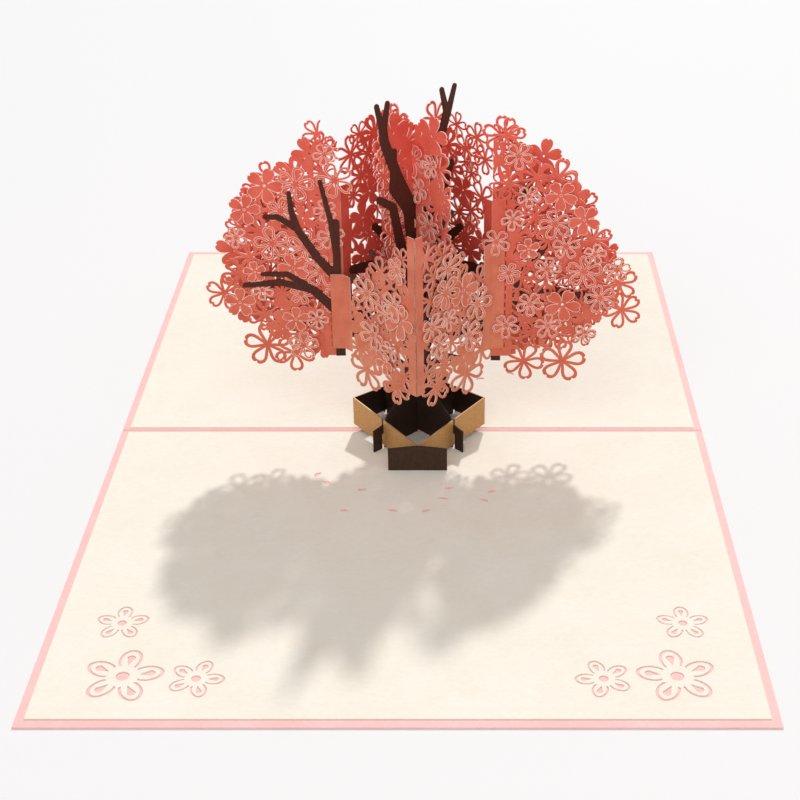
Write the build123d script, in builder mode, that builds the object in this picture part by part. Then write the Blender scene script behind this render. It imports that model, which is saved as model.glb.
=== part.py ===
from build123d import *
import math
import os
import random

os.makedirs("parts", exist_ok=True)

# Pop-up card standing open on a table. X runs along the card's fold, the front leaf lies
# toward -Y, the back leaf toward +Y, and +Z is up. The origin is on the fold, under the cover.

# ---- driving dimensions, mm -------------------------------------------------------------
CARD_WIDTH = 200.0  # along the fold
LEAF_DEPTH = 150.0  # from the fold to the free edge
COVER_THICK = 0.5
INNER_THICK = 0.3
SCORE_WIDTH = 0.8
SCORE_DEPTH = 0.2
SIDE_BORDER = 2.5  # cover left showing beside the inner sheets
END_BORDER = 3.0  # cover left showing at the front and back edges
FOLD_GAP = 1.6  # half the cover left showing at the fold

PAPER = 0.4  # every sheet of the tree and its base
AXIS_X = 2.5  # the tree's upright axis, where the two trunk sheets cross
BASE_HALF_WIDTH = 22.5  # base lattice, axis to its left or right corner
BASE_HALF_DEPTH = 25.5  # base lattice, axis to its front or back corner
STRIP_LIFT = 2.4  # how far the strips rise off the card at the side corners
STRIP_HEIGHT_SIDE = 10.4
STRIP_HEIGHT_END = 8.8
BAND_HALF_WIDTH = 9.7
BAND_HEIGHT_MIDDLE = 9.4
BAND_HEIGHT_END = 8.3

VEE_HALF = 24.3  # canopy vees, axis to a side corner, and the same to the front vertex
SPINE = 3.4  # solid strip beside each fold of the canopy
TAB = 4.0  # glue tab outside the side corners
SLAT_REACH = 21.2  # trunk sheets at the card, axis to the tip that shows outside the strips
LAP_HEIGHT = 62.0  # where the halving slots of the crossing sheets meet
LAP_CLEAR = 0.15
FAN_ANGLE = 9.0  # the second leaf of each wing stands this far behind the first
FAN_START = 5.0

FLOWER_SIZES = (10.0, 12.0, 13.5)
RIM_SIZE = 16.5
FLOWER_SPACING = 8.6
JITTER = 1.2

# ---- derived ---------------------------------------------------------------------------
CARD_TOP = COVER_THICK + INNER_THICK
STACK = 2.5 * PAPER  # half of the five sheets glued together at each side corner
PANEL_LENGTH = VEE_HALF * math.sqrt(2.0)
PANEL_INNER = PANEL_LENGTH / 2 - 2 * PAPER - 0.2  # room for the trunk sheets in the vees
AXIS = (AXIS_X, 0.0)


def polar(radius, degrees):
    """A point in the plane from its radius and angle."""
    return radius * math.cos(math.radians(degrees)), radius * math.sin(math.radians(degrees))


def blossom_outline(radius):
    """The edge of a five-petal blossom, each petal with a notch in its tip."""
    with BuildLine() as outline:
        for petal in range(5):
            turn = 72 * petal
            notch = polar(0.89 * radius, turn)
            for side in (-1, 1):
                valley = polar(0.22 * radius, turn + side * 36)
                cheek = polar(0.50 * radius, turn + side * 31)
                waist = polar(0.80 * radius, turn + side * 23)
                shoulder = polar(0.98 * radius, turn + side * 8)
                Line(valley, cheek)
                ThreePointArc(cheek, waist, shoulder)
                Line(shoulder, notch)
    return outline.line


def open_blossom(diameter):
    """A five-petal blossom with a teardrop hole in each petal."""
    radius = diameter / 2
    with BuildSketch() as blossom:
        add(blossom_outline(radius))
        make_face()
        with PolarLocations(0, 5):
            with BuildLine():
                Line((0.19 * radius, 0), (0.56 * radius, 0.17 * radius))
                ThreePointArc((0.56 * radius, 0.17 * radius), (0.80 * radius, 0),
                              (0.56 * radius, -0.17 * radius))
                Line((0.56 * radius, -0.17 * radius), (0.19 * radius, 0))
            make_face(mode=Mode.SUBTRACT)
    return blossom.sketch


def closed_blossom(diameter):
    """A five-petal blossom with solid petals and a small hole at its centre."""
    radius = diameter / 2
    with BuildSketch() as blossom:
        add(blossom_outline(radius))
        make_face()
        Circle(0.07 * radius, mode=Mode.SUBTRACT)
    return blossom.sketch


OPEN = {size: open_blossom(size) for size in (*FLOWER_SIZES, RIM_SIZE)}
CLOSED = {size: closed_blossom(size) for size in FLOWER_SIZES}


def inside(point, zone):
    """True where a point lies inside the closed outline of straight sides."""
    x, z = point
    crossings = 0
    for (x0, z0), (x1, z1) in zip(zone, zone[1:] + zone[:1]):
        if (z0 > z) != (z1 > z) and x < x0 + (z - z0) * (x1 - x0) / (z1 - z0):
            crossings += 1
    return crossings % 2 == 1


def scattered(zone, seed):
    """Blossoms over a zone, on a loosely staggered grid, closed ones among the open ones."""
    chance = random.Random(seed)
    row_step = FLOWER_SPACING * math.sqrt(3) / 2
    xs = [x for x, z in zone]
    zs = [z for x, z in zone]
    blossoms = []
    row = 0
    z = min(zs)
    while z <= max(zs):
        x = min(xs) + (row % 2) * FLOWER_SPACING / 2
        while x <= max(xs):
            spot = (x + chance.uniform(-JITTER, JITTER), z + chance.uniform(-JITTER, JITTER))
            size = chance.choice(FLOWER_SIZES)
            turn = chance.uniform(0, 72)
            style = CLOSED if chance.random() < 0.25 else OPEN
            if inside(spot, zone):
                blossoms.append(style[size].moved(Location((*spot, 0), (0, 0, turn))))
            x += FLOWER_SPACING
        row += 1
        z += row_step
    return blossoms


def rims(spots):
    """Large open blossoms at the named spots, each an (x, z, turn)."""
    return [OPEN[RIM_SIZE].moved(Location((x, z, 0), (0, 0, turn))) for x, z, turn in spots]


def lace(zone, seed, large, spines, near, far, low=0.0, high=130.0):
    """Blossoms and solid spines joined into one sheet, cut off at its folds."""
    add(scattered(zone, seed) + rims(large))
    for left, right, bottom, top in spines:
        with Locations(((left + right) / 2, (bottom + top) / 2)):
            Rectangle(right - left, top - bottom)
    with Locations(((near + far) / 2, (low + high) / 2)):
        Rectangle(far - near, high - low, mode=Mode.INTERSECT)


def in_one_piece(sketch):
    """The sheet without the blossoms that nothing holds."""
    return sketch.faces().sort_by(SortBy.AREA)[-1]


def branch(points, start_width, tip_width):
    """A branch that tapers along straight stretches, with a rounded tip."""
    count = len(points) - 1
    left = []
    right = []
    for index, (x, z) in enumerate(points):
        before = points[max(index - 1, 0)]
        after = points[min(index + 1, count)]
        run = (after[0] - before[0], after[1] - before[1])
        length = math.hypot(*run)
        half = (start_width + (tip_width - start_width) * index / count) / 2
        side = (-run[1] / length * half, run[0] / length * half)
        left.append((x + side[0], z + side[1]))
        right.append((x - side[0], z - side[1]))
    last = (points[-1][0] - points[-2][0], points[-1][1] - points[-2][1])
    reach = tip_width / 2 / math.hypot(*last)
    tip = (points[-1][0] + last[0] * reach, points[-1][1] + last[1] * reach)
    with BuildSketch() as limb:
        with BuildLine():
            Polyline(*left)
            ThreePointArc(left[-1], tip, right[-1])
            Polyline(*right)
            Line(left[0], right[0])
        make_face()
    return limb.sketch


def branches(limbs):
    """Branches, each given as its points, its width at the start and its width at the tip."""
    return [branch(*limb) for limb in limbs]


def upright(start, end, shift=0.0):
    """The upright plane over a line in plan: its X runs along the line and its Y is up."""
    run = (end[0] - start[0], end[1] - start[1])
    length = math.hypot(*run)
    along = (run[0] / length, run[1] / length, 0)
    facing = (along[1], -along[0], 0)
    return Plane(origin=(start[0], start[1], 0), x_dir=along, z_dir=facing).offset(shift)


def finish(part, name):
    """Labels a finished piece and writes it out."""
    part.label = name
    export_step(part, f"parts/{name}.step")


# ---- the card ----------------------------------------------------------------------------
with BuildPart() as cover:
    with BuildSketch():
        Rectangle(CARD_WIDTH, 2 * LEAF_DEPTH)
    extrude(amount=COVER_THICK)
    with BuildSketch(Plane.XY.offset(COVER_THICK)):
        Rectangle(CARD_WIDTH, SCORE_WIDTH)
    extrude(amount=-SCORE_DEPTH, mode=Mode.SUBTRACT)
finish(cover.part, "cover")


def cut_blossom(diameter):
    """The holes of one blossom cut in the card: a round eye, and a rim and an eye per petal."""
    radius = diameter / 2
    with BuildSketch() as petal:
        with Locations((0.62 * radius, 0)):
            Ellipse(0.40 * radius, 0.29 * radius)
        with Locations((0.60 * radius, 0)):
            Ellipse(0.33 * radius, 0.215 * radius, mode=Mode.SUBTRACT)
        with Locations((0.26 * radius, 0)):
            Rectangle(0.2 * radius, 0.6 * radius, mode=Mode.SUBTRACT)
        with BuildLine():
            Line((0.40 * radius, 0), (0.70 * radius, 0.11 * radius))
            ThreePointArc((0.70 * radius, 0.11 * radius), (0.80 * radius, 0),
                          (0.70 * radius, -0.11 * radius))
            Line((0.70 * radius, -0.11 * radius), (0.40 * radius, 0))
        make_face()
    with BuildSketch() as holes:
        Circle(0.17 * radius)
        with PolarLocations(0, 5, start_angle=90):
            add(petal.sketch)
    return holes.sketch


def cut_petal(length):
    """The hole of one falling petal: a rounded leaf with a hollow side."""
    with BuildSketch() as hole:
        with BuildLine():
            ThreePointArc((-length / 2, 0), (0, length * 0.38), (length / 2, 0))
            ThreePointArc((length / 2, 0), (0, length * -0.12), (-length / 2, 0))
        make_face()
    return hole.sketch


CORNER_BLOSSOMS = ((75, -130, 22.0, 8), (55, -131, 15.5, 20), (79.5, -107, 15.0, 0))
FALLING_PETALS = ((-15, -38, 20), (-27, -34, -35), (-30, -29, 60), (-20, -50, 10), (-5, -50, -20),
                  (6, -50, 35), (11, -43, -10), (13, -37, 15), (24, -44, -30), (27, -39, 25))
PETAL_LENGTH = 3.4

inner_width = CARD_WIDTH - 2 * SIDE_BORDER
inner_depth = LEAF_DEPTH - END_BORDER - FOLD_GAP
inner_middle = FOLD_GAP + inner_depth / 2

with BuildPart() as front_inner_sheet:
    with BuildSketch(Plane.XY.offset(COVER_THICK)):
        with Locations((0, -inner_middle)):
            Rectangle(inner_width, inner_depth)
        for x, y, diameter, turn in CORNER_BLOSSOMS:
            with Locations(Location((x, y, 0), (0, 0, turn)), Location((-x, y, 0), (0, 0, -turn))):
                add(cut_blossom(diameter), mode=Mode.SUBTRACT)
        for x, y, turn in FALLING_PETALS:
            with Locations(Location((x, y, 0), (0, 0, turn))):
                add(cut_petal(PETAL_LENGTH), mode=Mode.SUBTRACT)
    extrude(amount=INNER_THICK)
finish(front_inner_sheet.part, "front_inner_sheet")

BACK_PETALS = ((24, 36, 15), (35, 40, -40))

with BuildPart() as back_inner_sheet:
    with BuildSketch(Plane.XY.offset(COVER_THICK)):
        with Locations((0, inner_middle)):
            Rectangle(inner_width, inner_depth)
        for x, y, turn in BACK_PETALS:
            with Locations(Location((x, y, 0), (0, 0, turn))):
                add(cut_petal(PETAL_LENGTH), mode=Mode.SUBTRACT)
    extrude(amount=INNER_THICK)
finish(back_inner_sheet.part, "back_inner_sheet")

# ---- the base lattice ----------------------------------------------------------------------
side_left = (AXIS_X - BASE_HALF_WIDTH, 0.0)
side_right = (AXIS_X + BASE_HALF_WIDTH, 0.0)
strip_length = math.hypot(BASE_HALF_WIDTH, BASE_HALF_DEPTH)
slot_run = BASE_HALF_WIDTH * BASE_HALF_DEPTH / (BASE_HALF_WIDTH + BASE_HALF_DEPTH)
slot_reach = slot_run * math.sqrt(2.0)
SLOT_WIDTH = 0.8
SLOT_FLOOR = 6.4


def strip_panel(side, end_y):
    """One straight half of a base strip, from its side corner to the front or back corner."""
    end = (AXIS_X, end_y)
    outward = -1 if (side[0] < AXIS_X) == (end_y < 0) else 1
    with BuildSketch(upright(side, end), mode=Mode.PRIVATE) as panel:
        with BuildLine():
            Polyline((0, CARD_TOP + STRIP_LIFT), (strip_length, CARD_TOP),
                     (strip_length, CARD_TOP + STRIP_HEIGHT_END),
                     (0, CARD_TOP + STRIP_LIFT + STRIP_HEIGHT_SIDE), close=True)
        make_face()
    extrude(panel.sketch, amount=outward * PAPER)


def strip_slots(side_sign):
    """The open-topped slots in a base strip that take the trunk sheets."""
    for end_sign in (-1, 1):
        middle = (AXIS_X + side_sign * slot_run, end_sign * slot_run)
        turn = 45 * side_sign * end_sign
        with Locations(Location((*middle, SLOT_FLOOR), (0, 0, turn))):
            Box(4 * PAPER, SLOT_WIDTH, 20, align=(Align.CENTER, Align.CENTER, Align.MIN),
                mode=Mode.SUBTRACT)


with BuildPart() as base_left_strip:
    strip_panel(side_left, -BASE_HALF_DEPTH)
    strip_panel(side_left, BASE_HALF_DEPTH)
    strip_slots(-1)
    split(bisect_by=Plane.YZ.offset(AXIS_X), keep=Keep.BOTTOM)
finish(base_left_strip.part, "base_left_strip")

with BuildPart() as base_right_strip:
    strip_panel(side_right, -BASE_HALF_DEPTH)
    strip_panel(side_right, BASE_HALF_DEPTH)
    strip_slots(1)
    split(bisect_by=Plane.YZ.offset(AXIS_X), keep=Keep.TOP)
finish(base_right_strip.part, "base_right_strip")


def end_band(y, outward):
    """The low band glued across the front or back corner of the lattice."""
    with BuildSketch(Plane.XZ.offset(-y), mode=Mode.PRIVATE) as band:
        with BuildLine():
            Polyline((AXIS_X - BAND_HALF_WIDTH, CARD_TOP), (AXIS_X + BAND_HALF_WIDTH, CARD_TOP),
                     (AXIS_X + BAND_HALF_WIDTH, CARD_TOP + BAND_HEIGHT_END),
                     (AXIS_X, CARD_TOP + BAND_HEIGHT_MIDDLE),
                     (AXIS_X - BAND_HALF_WIDTH, CARD_TOP + BAND_HEIGHT_END), close=True)
        make_face()
    extrude(band.sketch, amount=outward * PAPER)


BAND_Y = BASE_HALF_DEPTH + PAPER

with BuildPart() as base_front_band:
    end_band(-BAND_Y, 1)
finish(base_front_band.part, "base_front_band")

with BuildPart() as base_back_band:
    end_band(BAND_Y, -1)
finish(base_back_band.part, "base_back_band")

# ---- the trunk sheets ----------------------------------------------------------------------
TRUNK_PROFILE = ((0, 70), (4, 68), (5.2, 58), (5.0, 40), (5.6, 26), (9.0, 17), (15.0, 12.4),
                 (16.2, 9.8), (SLAT_REACH, 9.0), (SLAT_REACH, CARD_TOP))
SPINE_LIMB = (((0, 60), (0, 84)), 6.0, 4.0)
STRIP_SLOT = 1.1
lap_left = -1.5 * PAPER - LAP_CLEAR
lap_right = 0.5 * PAPER + LAP_CLEAR


def trunk_body(forks):
    """A trunk sheet's outline: the cross slat, the trunk, its spine and its branches."""
    with BuildSketch() as body:
        with BuildLine():
            Polyline((0, CARD_TOP), *((-x, z) for x, z in reversed(TRUNK_PROFILE)),
                     *TRUNK_PROFILE[1:], close=True)
        make_face()
        add(branches((SPINE_LIMB, *forks)))
        with Locations((-slot_reach, CARD_TOP), (slot_reach, CARD_TOP)):
            Rectangle(STRIP_SLOT, 2 * (SLOT_FLOOR - CARD_TOP), mode=Mode.SUBTRACT)
    return body.sketch


def lap_slot(bottom, top):
    """The halving slot that lets crossing sheets pass each other."""
    with Locations(((lap_left + lap_right) / 2, (bottom + top) / 2)):
        Rectangle(lap_right - lap_left, top - bottom, mode=Mode.SUBTRACT)


FORKS_A = (
    (((-2, 56), (-7, 72), (-10, 86), (-15.6, 90)), 4.4, 2.4),
    (((-1, 66), (-4, 84), (-10, 92), (-9, 104)), 4.4, 2.0),
    (((0, 80), (-8, 96), (-13, 108), (-13.5, 113)), 4.0, 3.2),
    (((-13.4, 111), (-15.8, 120)), 2.6, 1.8),
    (((-13.4, 111), (-11.4, 120)), 2.6, 1.8),
    (((2, 56), (8, 70), (12, 84), (15.8, 94)), 4.4, 2.2),
    (((1, 74), (5, 92), (12, 106), (14, 112)), 4.2, 3.2),
    (((14, 110), (11.6, 119)), 2.6, 1.8),
    (((14, 110), (17.2, 119)), 2.6, 1.8),
)
FORKS_B = (
    (((2, 50), (8, 66), (12, 80), (15.8, 86)), 4.4, 2.2),
    (((3, 60), (5, 76), (9, 92), (8, 106)), 4.0, 1.8),
    (((-2, 50), (-8, 66), (-12, 80), (-15.8, 86)), 4.4, 2.2),
    (((-3, 60), (-5, 78), (-9, 94), (-12, 108)), 4.0, 1.8),
)

ALONG_A = (AXIS_X + 1, 1.0)
ALONG_B = (AXIS_X + 1, -1.0)

with BuildPart() as trunk_sheet_a:
    with BuildSketch(upright(AXIS, ALONG_A)):
        add(trunk_body(FORKS_A))
        lap_slot(0, LAP_HEIGHT)
    extrude(amount=PAPER / 2, both=True)
finish(trunk_sheet_a.part, "trunk_sheet_a")

with BuildPart() as trunk_sheet_b:
    with BuildSketch(upright(AXIS, ALONG_B)):
        add(trunk_body(FORKS_B))
        lap_slot(LAP_HEIGHT, 130)
    extrude(amount=PAPER / 2, both=True)
finish(trunk_sheet_b.part, "trunk_sheet_b")

# ---- the crown sheets, glued to the trunk sheets --------------------------------------------
CROWN_ZONE = [(-13, 58), (13, 58), (14, 100), (9, 109), (3, 105), (-3, 105), (-9, 109), (-14, 100)]
CROWN_SPINE = [(-SPINE, SPINE, 46, 104)]

with BuildPart() as crown_blossoms_a:
    with BuildSketch(upright(AXIS, ALONG_A, -PAPER / 2), mode=Mode.PRIVATE) as crown_a:
        lace(CROWN_ZONE, 11, ((-9, 110, 10), (9, 110, 40)), CROWN_SPINE, -PANEL_INNER, PANEL_INNER)
        lap_slot(0, LAP_HEIGHT)
    extrude(in_one_piece(crown_a.sketch), amount=-PAPER)
finish(crown_blossoms_a.part, "crown_blossoms_a")

with BuildPart() as crown_blossoms_b:
    with BuildSketch(upright(AXIS, ALONG_B, PAPER / 2), mode=Mode.PRIVATE) as crown_b:
        lace(CROWN_ZONE, 12, ((-8, 108, 30), (8, 108, 5)), CROWN_SPINE, -PANEL_INNER, PANEL_INNER)
        lap_slot(LAP_HEIGHT, 130)
    extrude(in_one_piece(crown_b.sketch), amount=PAPER)
finish(crown_blossoms_b.part, "crown_blossoms_b")

# ---- the front and back vees of the canopy ---------------------------------------------------
def vee_points(sign, depth=0.0):
    """The left corner, vertex and right corner of a vee, moved in from its outer face."""
    shift = depth * math.sqrt(2.0)
    edge = sign * STACK
    left = (AXIS_X - VEE_HALF + shift, edge)
    vertex = (AXIS_X, edge + sign * (VEE_HALF - shift))
    right = (AXIS_X + VEE_HALF - shift, edge)
    return left, vertex, right


def corner_tab(sign, side, bottom, top):
    """A glue tab that turns out along the wing at a side corner of a vee."""
    corner = vee_points(sign)[0] if side < 0 else vee_points(sign)[2]
    with BuildSketch(upright(corner, (corner[0] + side, corner[1])), mode=Mode.PRIVATE) as tab:
        with Locations(((TAB - PAPER) / 2, (bottom + top) / 2)):
            Rectangle(TAB + PAPER, top - bottom)
    extrude(tab.sketch, amount=side * sign * PAPER)


FRONT_LEFT_ZONE = [(4, 30), (12, 28), (24, 30), (31, 36), (31, 56), (22, 66), (12, 73), (4, 76)]
FRONT_RIGHT_ZONE = [(4, 30), (12, 29), (24, 28), (31, 36), (31, 64), (24, 68), (14, 73), (4, 76)]
BACK_ZONE = [(4, 40), (18, 36), (31, 42), (31, 104), (24, 107), (12, 105), (4, 98)]

with BuildPart() as front_vee_blossoms:
    front_left, front_vertex, front_right = vee_points(-1)
    with BuildSketch(upright(front_vertex, front_left), mode=Mode.PRIVATE) as front_left_lace:
        lace(FRONT_LEFT_ZONE, 21, ((25, 29, 12), (10, 28, 50)),
             [(0, SPINE, 30, 83), (PANEL_LENGTH - SPINE, PANEL_LENGTH, 33, 60)], 0, PANEL_LENGTH)
    extrude(in_one_piece(front_left_lace.sketch), amount=PAPER)
    with BuildSketch(upright(front_vertex, front_right), mode=Mode.PRIVATE) as front_right_lace:
        lace(FRONT_RIGHT_ZONE, 22, ((9, 28, 30), (23, 28, 60)),
             [(0, SPINE, 30, 83), (PANEL_LENGTH - SPINE, PANEL_LENGTH, 33, 71)], 0, PANEL_LENGTH)
    extrude(in_one_piece(front_right_lace.sketch), amount=-PAPER)
    corner_tab(-1, -1, 33, 60)
    corner_tab(-1, 1, 33, 71)
finish(front_vee_blossoms.part, "front_vee_blossoms")

with BuildPart() as back_vee_blossoms:
    back_left, back_vertex, back_right = vee_points(1)
    with BuildSketch(upright(back_vertex, back_left), mode=Mode.PRIVATE) as back_left_lace:
        lace(BACK_ZONE, 31, ((12, 36, 12), (26, 38, 50)),
             [(0, SPINE, 36, 95), (PANEL_LENGTH - SPINE, PANEL_LENGTH, 40, 90)], 0, PANEL_LENGTH)
    extrude(in_one_piece(back_left_lace.sketch), amount=-PAPER)
    with BuildSketch(upright(back_vertex, back_right), mode=Mode.PRIVATE) as back_right_lace:
        lace(BACK_ZONE, 32, ((11, 36, 30), (25, 38, 60)),
             [(0, SPINE, 36, 95), (PANEL_LENGTH - SPINE, PANEL_LENGTH, 40, 85)], 0, PANEL_LENGTH)
    extrude(in_one_piece(back_right_lace.sketch), amount=PAPER)
    corner_tab(1, -1, 40, 90)
    corner_tab(1, 1, 40, 85)
finish(back_vee_blossoms.part, "back_vee_blossoms")

VEE_BRANCHES = (
    (((0, 34), (0, 70)), 8.0, 5.0),
    (((0, 40), (9, 52), (18, 58), (30, 60)), 6.5, 3.0),
    (((0, 52), (8, 62), (14, 66), (20, 72)), 5.5, 2.4),
    (((8, 50), (16, 46), (24, 42), (30, 42)), 4.0, 2.4),
    (((4, 36), (12, 38), (20, 34)), 4.0, 2.2),
)


def vee_branch_panel(vertex, corner, amount):
    """Half of a vee's branch sheet, from its vertex fold toward a side corner."""
    with BuildSketch(upright(vertex, corner), mode=Mode.PRIVATE) as panel:
        add(branches(VEE_BRANCHES))
        with Locations((PANEL_LENGTH / 2, 60)):
            Rectangle(PANEL_LENGTH, 100, mode=Mode.INTERSECT)
    extrude(panel.sketch, amount=amount)


with BuildPart() as front_vee_branches:
    left_in, vertex_in, right_in = vee_points(-1, PAPER)
    vee_branch_panel(vertex_in, left_in, PAPER)
    vee_branch_panel(vertex_in, right_in, -PAPER)
finish(front_vee_branches.part, "front_vee_branches")

with BuildPart() as back_vee_branches:
    left_in, vertex_in, right_in = vee_points(1, PAPER)
    vee_branch_panel(vertex_in, left_in, -PAPER)
    vee_branch_panel(vertex_in, right_in, PAPER)
finish(back_vee_branches.part, "back_vee_branches")

# ---- the wings -------------------------------------------------------------------------------
LEFT_ZONE = [(2, 33), (8, 32), (18, 34), (26, 38), (32, 45), (37, 52), (38, 60), (34, 70),
             (31, 80), (26, 89), (18, 96), (10, 104), (4, 108), (2, 108)]
RIGHT_ZONE = [(2, 30), (10, 30), (18, 33), (27, 32), (32, 38), (39, 44), (42, 50), (39, 62),
              (37, 72), (33, 80), (27, 88), (18, 96), (10, 103), (2, 108)]
LEFT_RIMS = ((26, 34, 15), (17, 31, 50), (39, 53, 30))
RIGHT_RIMS = ((24, 28, 10), (43, 47, 40), (11, 28, 62))
WING_SPINE_TOP = 90.0
WING_SPINE_FOOT = 30.0
PERFORATION = (0.3, 1.9)
PERFORATION_STEP = 3.2

left_corner = AXIS_X - VEE_HALF
right_corner = AXIS_X + VEE_HALF


def perforations():
    """The dashed slits of a perforated fold line, near the root of a wing."""
    count = int((WING_SPINE_TOP - WING_SPINE_FOOT) / PERFORATION_STEP) - 1
    middle = (WING_SPINE_TOP + WING_SPINE_FOOT) / 2
    with Locations((TAB + 0.5, middle)):
        with GridLocations(1, PERFORATION_STEP, 1, count):
            Rectangle(*PERFORATION, mode=Mode.SUBTRACT)


def wing_lace(corner_x, side, layer, zone, seed, large):
    """A flat wing of blossoms that runs out from a side corner."""
    start = (corner_x, layer * PAPER)
    with BuildSketch(upright(start, (corner_x + side, start[1])), mode=Mode.PRIVATE) as wing:
        lace(zone, seed, large, [(0, 2 * SPINE, WING_SPINE_FOOT, WING_SPINE_TOP)], 0, 60)
        perforations()
    extrude(in_one_piece(wing.sketch), amount=-side * PAPER)


def fanned_lace(corner_x, side, layer, zone, seed, large):
    """A second wing of blossoms: a flat root, and a leaf that stands behind the first."""
    start = (corner_x, layer * PAPER)
    with BuildSketch(upright(start, (corner_x + side, start[1])), mode=Mode.PRIVATE) as root:
        with Locations((FAN_START / 2 + 0.1, (WING_SPINE_FOOT + WING_SPINE_TOP) / 2)):
            Rectangle(FAN_START + 0.2, WING_SPINE_TOP - WING_SPINE_FOOT)
    extrude(root.sketch, amount=-side * PAPER)
    along = polar(1.0, FAN_ANGLE)
    bend = (corner_x + side * FAN_START, start[1])
    leaf_plane = upright(bend, (bend[0] + side * along[0], bend[1] + along[1]))
    shifted = [(x - FAN_START, z) for x, z in zone]
    rims_there = [(x - FAN_START, z, turn) for x, z, turn in large]
    with BuildSketch(leaf_plane, mode=Mode.PRIVATE) as leaf:
        lace(shifted, seed, rims_there, [(0, SPINE, WING_SPINE_FOOT, WING_SPINE_TOP)], 0, 60)
    extrude(in_one_piece(leaf.sketch), amount=-side * PAPER)


LEFT_BRANCHES = (
    (((1.5, 30), (1.8, 50), (1.5, 78)), 3.2, 2.2),
    (((1.5, 46), (10, 54.5), (20, 57), (32, 56)), 3.6, 1.6),
    (((10, 54.5), (18, 60), (26, 60)), 2.6, 1.4),
    (((1.5, 58), (8, 66), (14, 76), (20, 80), (24, 80)), 3.2, 1.6),
    (((14, 76), (15.5, 82), (16, 88)), 2.4, 1.4),
    (((1.5, 66), (3, 78), (6, 92)), 2.4, 1.3),
)
RIGHT_BRANCHES = (
    (((1.5, 28), (1.8, 50), (1.5, 80)), 3.4, 2.2),
    (((1.5, 48), (8, 57), (16, 68), (20, 76)), 3.6, 1.6),
    (((1.5, 46), (10, 52), (22, 54), (30, 53)), 3.4, 1.6),
    (((22, 54), (32, 51), (38, 47)), 2.4, 1.4),
    (((1.5, 44), (7, 43), (12, 40), (18, 44)), 2.4, 1.4),
    (((1.5, 66), (6, 80), (12, 92)), 2.6, 1.4),
)


def wing_branches(corner_x, side, layer, limbs):
    """A flat sheet of branches that runs out from a side corner."""
    start = (corner_x, layer * PAPER)
    with BuildSketch(upright(start, (corner_x + side, start[1])), mode=Mode.PRIVATE) as sheet:
        add(branches(limbs))
        with Locations((40, 65)):
            Rectangle(80, 130, mode=Mode.INTERSECT)
    extrude(sheet.sketch, amount=-side * PAPER)


# Layers are counted in sheets from the middle of the wing, front to back.
with BuildPart() as left_wing_branches:
    wing_branches(left_corner, -1, -1.5, LEFT_BRANCHES)
finish(left_wing_branches.part, "left_wing_branches")

with BuildPart() as left_wing_blossoms:
    wing_lace(left_corner, -1, -0.5, LEFT_ZONE, 41, LEFT_RIMS)
finish(left_wing_blossoms.part, "left_wing_blossoms")

with BuildPart() as left_wing_rear_blossoms:
    fanned_lace(left_corner, -1, 0.5, LEFT_ZONE, 42, ((22, 36, 40), (36, 62, 20)))
finish(left_wing_rear_blossoms.part, "left_wing_rear_blossoms")

with BuildPart() as right_wing_blossoms:
    wing_lace(right_corner, 1, -1.5, RIGHT_ZONE, 51, RIGHT_RIMS)
finish(right_wing_blossoms.part, "right_wing_blossoms")

with BuildPart() as right_wing_branches:
    wing_branches(right_corner, 1, -0.5, RIGHT_BRANCHES)
finish(right_wing_branches.part, "right_wing_branches")

with BuildPart() as right_wing_rear_blossoms:
    fanned_lace(right_corner, 1, 0.5, RIGHT_ZONE, 52, ((20, 32, 40), (38, 58, 20)))
finish(right_wing_rear_blossoms.part, "right_wing_rear_blossoms")
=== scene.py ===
"""Looks of an open pop-up card: a pink cover, cream sheets and a paper blossom tree.

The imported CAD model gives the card, the base lattice, the trunk and every branch sheet at their real
size. This script dresses those, and builds the eight blossom sheets as cut, folded and curled paper.
"""

import logging
import math
import random
from collections.abc import Callable, Sequence
from dataclasses import dataclass, field
from enum import Enum

import bpy
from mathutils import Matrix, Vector
from mathutils.geometry import delaunay_2d_cdt


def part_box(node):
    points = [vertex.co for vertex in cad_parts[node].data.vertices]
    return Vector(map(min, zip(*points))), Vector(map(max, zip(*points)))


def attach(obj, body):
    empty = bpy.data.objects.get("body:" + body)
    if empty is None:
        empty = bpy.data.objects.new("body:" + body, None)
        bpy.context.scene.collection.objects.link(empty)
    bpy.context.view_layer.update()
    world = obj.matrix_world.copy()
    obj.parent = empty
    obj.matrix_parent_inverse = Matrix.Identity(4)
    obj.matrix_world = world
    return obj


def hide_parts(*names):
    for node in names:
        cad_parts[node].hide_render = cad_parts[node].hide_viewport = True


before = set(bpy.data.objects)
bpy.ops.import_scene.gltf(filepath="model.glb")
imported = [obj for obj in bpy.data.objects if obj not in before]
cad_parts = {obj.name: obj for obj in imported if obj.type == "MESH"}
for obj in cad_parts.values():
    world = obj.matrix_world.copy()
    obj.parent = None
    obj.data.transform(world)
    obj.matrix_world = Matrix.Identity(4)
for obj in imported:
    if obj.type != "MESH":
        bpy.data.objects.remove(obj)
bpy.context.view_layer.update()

MM = 0.001
WELD = 0.004  # cut corners nearer than this are one corner, mm
ALL_INSIDE = 1  # the triangulator's word for: every triangle inside an outline

log = logging.getLogger("popup_card")

Point = tuple[float, float]
Loop = list[Point]
Height = Callable[[float, float], float]


# ---- colour and nodes --------------------------------------------------------------------


def linear(hex_colour: str) -> tuple[float, float, float, float]:
    """Turns an sRGB colour into the linear values that shaders use.

    Args:
        hex_colour: six hexadecimal digits after a hash.

    Returns:
        Red, green, blue and an alpha of one.
    """
    parts = [int(hex_colour[i:i + 2], 16) / 255 for i in (1, 3, 5)]
    red, green, blue = (p / 12.92 if p <= 0.04045 else ((p + 0.055) / 1.055) ** 2.4 for p in parts)
    return red, green, blue, 1.0


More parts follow.
